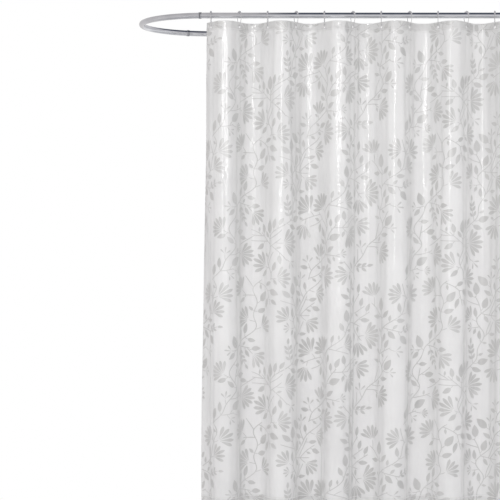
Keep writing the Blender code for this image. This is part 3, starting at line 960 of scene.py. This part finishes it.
def stalk(u, v, angle, length, bend, width=0.0025):
    """A new motif's stalk: the motif, and the stalk's points and headings."""
    shape = Print()
    line = curved_spine(u, v, angle, length, bend, max(4, int(length / 0.005)))
    stem(shape, line[0], line[1], width)
    return shape, line


def tip(line):
    return [values[-1] for values in line]


def fan(sheet, u, v, angle, size, petals, spread):
    """An open flower seen from the side."""
    start = 0.12 * size
    for k in range(petals):
        share = k / (petals - 1) - 0.5
        turn = angle + spread * share
        long = size * (1.0 - 0.12 * abs(share) * 2)
        petal(sheet, u + start * math.sin(turn), v - start * math.cos(turn), turn,
              long - start, size * min(0.20, 0.66 * spread / petals), 0.12 * share)


def grow_fan(u, v, angle, side):
    shape, line = stalk(u, v, angle, rng.uniform(0.016, 0.034), side * 0.3)
    petals = int(rng.integers(5, 8))
    fan(shape, *tip(line), rng.uniform(0.056, 0.070), petals, math.radians(17.0 * petals))
    return shape, line


def grow_bud(u, v, angle, side):
    shape, line = stalk(u, v, angle, rng.uniform(0.018, 0.034), side * 0.5)
    fan(shape, *tip(line), rng.uniform(0.026, 0.034), int(rng.integers(3, 6)),
        math.radians(95))
    return shape, line


def grow_sprig(u, v, angle, side):
    """A bent stalk with pairs of small leaves and one more at its tip."""
    length = rng.uniform(0.055, 0.095)
    shape, line = stalk(u, v, angle, length, side * rng.uniform(0.2, 0.8))
    us, vs, turn = line
    count = int(length / 0.022)
    long = rng.uniform(0.019, 0.026)
    for k in range(count):
        at = int(len(us) * (0.24 + 0.68 * k / count))
        for hand in (-1, 1):
            out = turn[at] + hand * rng.uniform(0.75, 0.95)
            du, dv = 0.0028 * math.sin(out), -0.0028 * math.cos(out)
            leaf(shape, us[at] + du, vs[at] + dv, out, long, long * 0.46, -hand * 0.35)
    leaf(shape, *tip(line), long * 1.1, long * 0.48)
    return shape, line


def grow_leaf(u, v, angle, side):
    shape, line = stalk(u, v, angle, rng.uniform(0.007, 0.014), side * 0.3)
    long = rng.uniform(0.030, 0.043)
    leaf(shape, *tip(line), long, long * rng.uniform(0.42, 0.52), side * 0.35)
    return shape, line


def grow_small_leaf(u, v, angle, side):
    long = rng.uniform(0.016, 0.024)
    shape, line = stalk(u, v, angle, 0.005, side * 0.2)
    leaf(shape, *tip(line), long, long * 0.50, side * 0.3)
    return shape, line


def grow_drop(u, v, angle, side):
    """A broad leaf, full at its base."""
    shape, line = stalk(u, v, angle, rng.uniform(0.010, 0.020), side * 0.4)
    long = rng.uniform(0.044, 0.053)
    leaf(shape, *tip(line), long, long * 0.56, side * 0.2)
    return shape, line


def grow_branch(u, v, angle, side):
    """A bare branch that other motifs grow from."""
    return stalk(u, v, angle, rng.uniform(0.050, 0.095), side * rng.uniform(-0.5, 0.7), 0.0030)


def make_tile():
    """One repeat of the print, grown from climbing stems in rounds of tries at free places."""
    tile, field = Print(), Field()
    spots = []

    def keep(shape, line, taken):
        tile.take(shape)
        field.mark(shape)
        us, vs, turn = line
        for k in range(taken, len(us) - 1, 2):
            for side in (-1, 1):
                spots.append((us[k], vs[k], turn[k], side))

    for n in range(MAIN_STEMS):
        shape = Print()
        t = np.linspace(0, 1, 110)
        phase = rng.uniform(0, 2 * math.pi)
        us = TILE_WIDTH * ((n + 0.5) / MAIN_STEMS + t / MAIN_STEMS)
        us = us + 0.030 * np.sin(4 * math.pi * t + phase) + 0.012 * np.sin(10 * math.pi * t + n)
        vs = TILE_HEIGHT * (1 - t)
        stem(shape, us, vs, 0.0034)
        turn = np.arctan2(np.gradient(us), -np.gradient(vs))
        keep(shape, (us, vs, turn), 1)
    # Each round: the motif, its least and most lean from the stem, and the tries.
    rounds = ((grow_branch, 0.7, 1.1, 60), (grow_fan, 0.5, 1.2, 210),
              (grow_branch, 0.5, 1.1, 90), (grow_drop, 0.6, 1.2, 150),
              (grow_sprig, 0.4, 1.2, 130), (grow_fan, 0.3, 1.4, 300),
              (grow_drop, 0.4, 1.3, 200), (grow_sprig, 0.3, 1.4, 250),
              (grow_leaf, 0.5, 1.3, 900), (grow_bud, 0.3, 1.4, 700),
              (grow_branch, 0.3, 1.5, 300), (grow_leaf, 0.3, 1.5, 1500),
              (grow_small_leaf, 0.3, 1.5, 2200))
    for grow, least, most, tries in rounds:
        for _ in range(tries):
            u, v, lean, side = spots[int(rng.integers(len(spots)))]
            shape, line = grow(u, v, lean + side * rng.uniform(least, most), -side)
            if field.free(shape, (u, v)):
                keep(shape, line, 2)
    return tile


def lay_print(cloth):
    """Repeats the tile over the sheet, on its front and on its back."""
    tile = make_tile()
    u0, v0 = np.concatenate(tile.u), np.concatenate(tile.v)
    lift0, faces0 = np.concatenate(tile.lift), np.concatenate(tile.faces)
    u_all, v_all, lift_all, faces_all = [], [], [], []
    start = 0
    for across in range(-1, 3):
        for down in range(-1, 5):
            u = u0 + across * TILE_WIDTH + TILE_START[0]
            v = v0 + down * TILE_HEIGHT + TILE_START[1]
            inside = (u > PRINT_MARGIN) & (u < CURTAIN_WIDTH - PRINT_MARGIN)
            inside &= (v > PRINT_MARGIN) & (v < CURTAIN_DROP - PRINT_MARGIN)
            for i in range(HOOKS):
                away = np.hypot(u - FLAT_PITCH * (i + 0.5), v - (TOP_Z - EYELET_Z))
                inside &= ~(away < EYELET_CLEAR)
            keep = faces0[inside[faces0].all(axis=1)]
            if len(keep) == 0:
                continue
            used = np.unique(keep)
            index = -np.ones(len(u), int)
            index[used] = np.arange(len(used)) + start
            u_all.append(u[used])
            v_all.append(v[used])
            lift_all.append(lift0[used])
            faces_all.append(index[keep])
            start += len(used)
    u, v = np.concatenate(u_all), np.concatenate(v_all)
    lift, faces = np.concatenate(lift_all), np.concatenate(faces_all)
    pieces = []
    for name, side in (("print_front", 1), ("print_back", -1)):
        places, normals = cloth.at(u, v)
        places = places + normals * lift[:, None] * side
        order = faces if side > 0 else faces[:, ::-1]
        item = mesh_object("curtain_" + name, places, order, INK)
        item.data.normals_split_custom_set_from_vertices([tuple(n) for n in normals * side])
        pieces.append(item)
    return pieces


# -------------------- the curtain's pieces
FOLD_BEHIND = 0.0006         # how far a turned-over edge lies behind the sheet


def soft(item, mat_slot, *nodes):
    """A piece that moves with the curtain's body, on its own copy of its mesh."""
    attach(item, "curtain")
    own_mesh(item)
    if nodes:
        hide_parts(*nodes)


def weld_lines(cloth):
    """Heat-sealed lines that hold the folded header and hem."""
    sheet = Print()
    us = cloth.us
    for v, half in ((HEADER_HEIGHT - 0.0025, 0.0009), (0.0012, 0.0007),
                    (CURTAIN_DROP - HEM_HEIGHT + 0.0025, 0.0009)):
        edges = np.stack([np.full(len(us), v - half), np.full(len(us), v + half)])
        sheet.patch(np.stack([us, us]), edges, 0.0)
    u, v = np.concatenate(sheet.u), np.concatenate(sheet.v)
    places, normals = cloth.at(u, v, WELD_LIFT)
    item = mesh_object("weld_lines", places, np.concatenate(sheet.faces), HEADER_FILM_PAINTED_LIGHT)
    item.data.normals_split_custom_set_from_vertices([tuple(n) for n in normals])
    return item


def make_curtain():
    cloth = Cloth()
    sheet = cloth.strip("curtain_sheet", FILM, 0, CURTAIN_DROP, 0.0)
    # The folded header and hem use film painted lighter than the sheet, so the doubled layer
    # shows no band of shade.
    header = cloth.strip("header_fold", HEADER_FILM_PAINTED_LIGHT, 0, HEADER_HEIGHT + 0.001, -FOLD_BEHIND)
    hem = cloth.strip("hem_fold", HEM_FILM_PAINTED_LIGHT, CURTAIN_DROP - HEM_HEIGHT, CURTAIN_DROP,
                      -FOLD_BEHIND, holes=False)
    front, back = lay_print(cloth)
    welds = weld_lines(cloth)
    soft(sheet, "clear_film", "curtain_panel")
    soft(header, "header_film", "header_band")
    soft(hem, "hem_film", "bottom_hem")
    soft(front, "clear_film")
    soft(back, "clear_film")
    soft(welds, "header_film")


# -------------------- room, light and camera
CAMERA_DISTANCE = 6.336      # in front of the front arm
CAMERA_X = -0.445
CAMERA_Z = -0.8915           # eye level, below the ring
LENS = 120.0
FLOOR_Z = -2.05


def make_floor():
    m = Nodes("pale_floor")
    colour = m.ramp(m.noise(3.0), (0.93, 0.93, 0.93), (0.96, 0.96, 0.96))
    m.join(colour, m.shader.inputs["Base Color"])
    m.set(Roughness=0.6)
    # It ends behind the curtain, below the picture, so that it draws no horizon.
    x, near, far = 3.4, -4.2, 0.62
    verts = [(-x, near, FLOOR_Z), (x, near, FLOOR_Z), (x, far, FLOOR_Z), (-x, far, FLOOR_Z)]
    floor = mesh_object("floor", verts, [(0, 1, 2, 3)], m.material, smooth=False)


def make_world():
    """White to the camera; to the chrome, a pale room with a dark band overhead."""
    world = bpy.data.worlds.new("studio")
    bpy.context.scene.world = world
    world.use_nodes = True
    add, join = world.node_tree.nodes.new, world.node_tree.links.new
    world.node_tree.nodes.clear()

    def spread(value, start, end, top):
        node = add("ShaderNodeMapRange")
        for key, number in (("From Min", start), ("From Max", end), ("To Max", top)):
            node.inputs[key].default_value = number
        join(value, node.inputs["Value"])
        return node.outputs["Result"]

    split = add("ShaderNodeSeparateXYZ")
    join(add("ShaderNodeTexCoord").outputs["Generated"], split.inputs["Vector"])
    sky = add("ShaderNodeValToRGB")
    stops = sky.color_ramp.elements
    stops[0].position, stops[0].color = 0.0, (0.62, 0.62, 0.63, 1)
    stops[1].position, stops[1].color = 1.0, (0.10, 0.11, 0.14, 1)
    for position, colour in ((0.22, (0.62, 0.62, 0.63, 1)), (0.30, (0.95, 0.95, 0.95, 1)),
                             (0.36, (0.95, 0.95, 0.95, 1)), (0.44, (0.72, 0.71, 0.72, 1)),
                             (0.74, (0.62, 0.61, 0.63, 1)), (0.86, (0.06, 0.07, 0.10, 1))):
        stops.new(position).color = colour
    join(spread(split.outputs["Z"], -1.0, 1.0, 1.0), sky.inputs["Fac"])
    # Towards the left the room is paler, so the ring's left bend has no dark band.
    pale = add("ShaderNodeMix")
    pale.data_type = "RGBA"
    colours = [socket for socket in pale.inputs if socket.type == "RGBA"]
    join(spread(split.outputs["X"], 0.024, 0.0, 0.85), pale.inputs[0])
    join(sky.outputs["Color"], colours[0])
    colours[1].default_value = (0.655, 0.636, 0.635, 1)
    studio, backdrop = add("ShaderNodeBackground"), add("ShaderNodeBackground")
    studio.inputs["Strength"].default_value = 1.0
    join(pale.outputs[2], studio.inputs["Color"])
    backdrop.inputs["Color"].default_value = (1, 1, 1, 1)
    backdrop.inputs["Strength"].default_value = 1.0
    mix = add("ShaderNodeMixShader")
    join(add("ShaderNodeLightPath").outputs["Is Camera Ray"], mix.inputs["Fac"])
    join(studio.outputs["Background"], mix.inputs[1])
    join(backdrop.outputs["Background"], mix.inputs[2])
    join(mix.outputs["Shader"], add("ShaderNodeOutputWorld").inputs["Surface"])
    bpy.context.scene.view_settings.view_transform = "Standard"


def area_light(name, place, aim, width, height, power, mirrored=False):
    light = bpy.data.lights.new(name, "AREA")
    light.shape = "RECTANGLE"
    light.size, light.size_y = width, height
    light.energy = power
    item = bpy.data.objects.new(name, light)
    bpy.context.collection.objects.link(item)
    item.location = place
    item.rotation_euler = (Vector(aim) - Vector(place)).to_track_quat("-Z", "Y").to_euler()
    item.visible_glossy = mirrored
    return item


def make_lights():
    aim = (0, FRONT_Y, -1.1)
    key = area_light("strip_front", (-0.60, FRONT_Y - 5.2, 0.1), (-0.2, FRONT_Y, -0.4),
                     0.50, 2.0, 68, True)
    area_light("soft_left", (-3.4, FRONT_Y - 3.6, -1.2), aim, 1.8, 2.6, 34)
    area_light("soft_right", (3.4, FRONT_Y - 3.6, -1.2), aim, 1.8, 2.6, 33)
    area_light("soft_back", (0.3, 2.4, -1.0), aim, 2.6, 2.6, 52)
    # The strip is for the film alone, so that it draws no white bar along the rod.
    film_names = ("curtain_sheet", "curtain_print", "header_fold", "hem_fold", "weld")
    lit = bpy.data.collections.new("film")
    for item in bpy.data.objects:
        if item.name.startswith(film_names):
            lit.objects.link(item)
    key.light_linking.receiver_collection = lit


def make_camera():
    data = bpy.data.cameras.new("camera")
    data.lens = LENS
    data.sensor_width = 36.0
    data.clip_end = 60.0
    item = bpy.data.objects.new("camera", data)
    bpy.context.collection.objects.link(item)
    item.location = (CAMERA_X, FRONT_Y - CAMERA_DISTANCE, CAMERA_Z)
    item.rotation_euler = (math.radians(90), 0, 0)
    bpy.context.scene.camera = item


make_ring()
make_bracket("left")
make_bracket("right")
for index in range(HOOKS):
    make_hook(index)
    make_eyelet(index)
make_curtain()
make_floor()
make_world()
make_lights()
make_camera()
